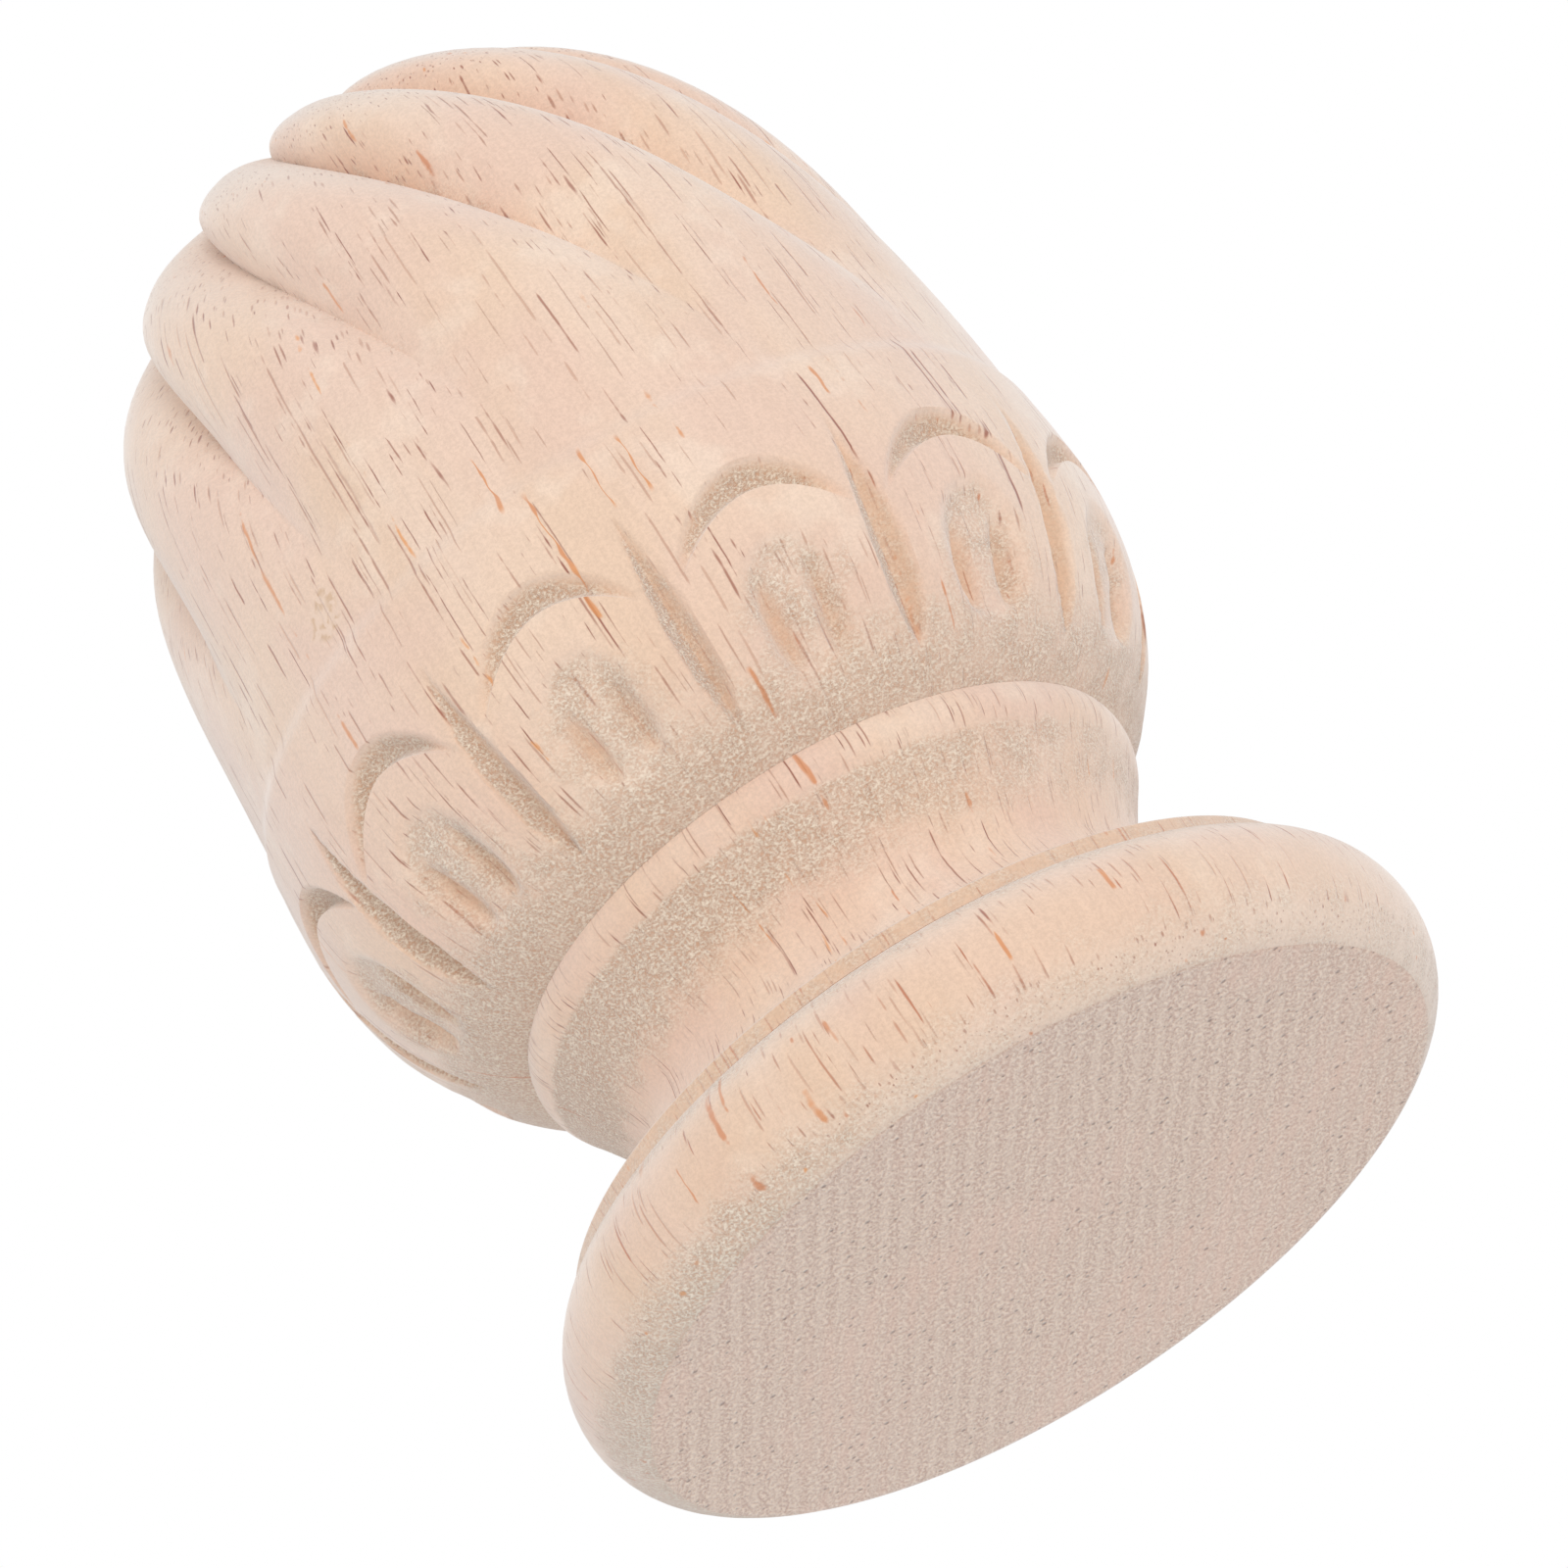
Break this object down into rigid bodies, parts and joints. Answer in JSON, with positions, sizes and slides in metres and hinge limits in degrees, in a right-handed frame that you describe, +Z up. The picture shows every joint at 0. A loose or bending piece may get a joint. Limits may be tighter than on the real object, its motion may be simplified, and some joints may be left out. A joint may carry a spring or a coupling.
{
  "type": "finial",
  "caption": "Turned and carved wooden finial: rounded base ring, coved neck, a cup of upright petals and a domed head of twisted flutes.",
  "frame": {"origin": "centre of the flat underside", "axes": "+Z up along the turning axis, from the underside to the tip; -Y is the side seen in the picture"},
  "size_m": [0.07, 0.07, 0.1067],
  "materials": {
    "raw_wood": "unfinished pale open-pored hardwood, turned and carved"
  },
  "bodies": {
    "root": {"finial": "raw_wood"}
  },
  "joints": []
}
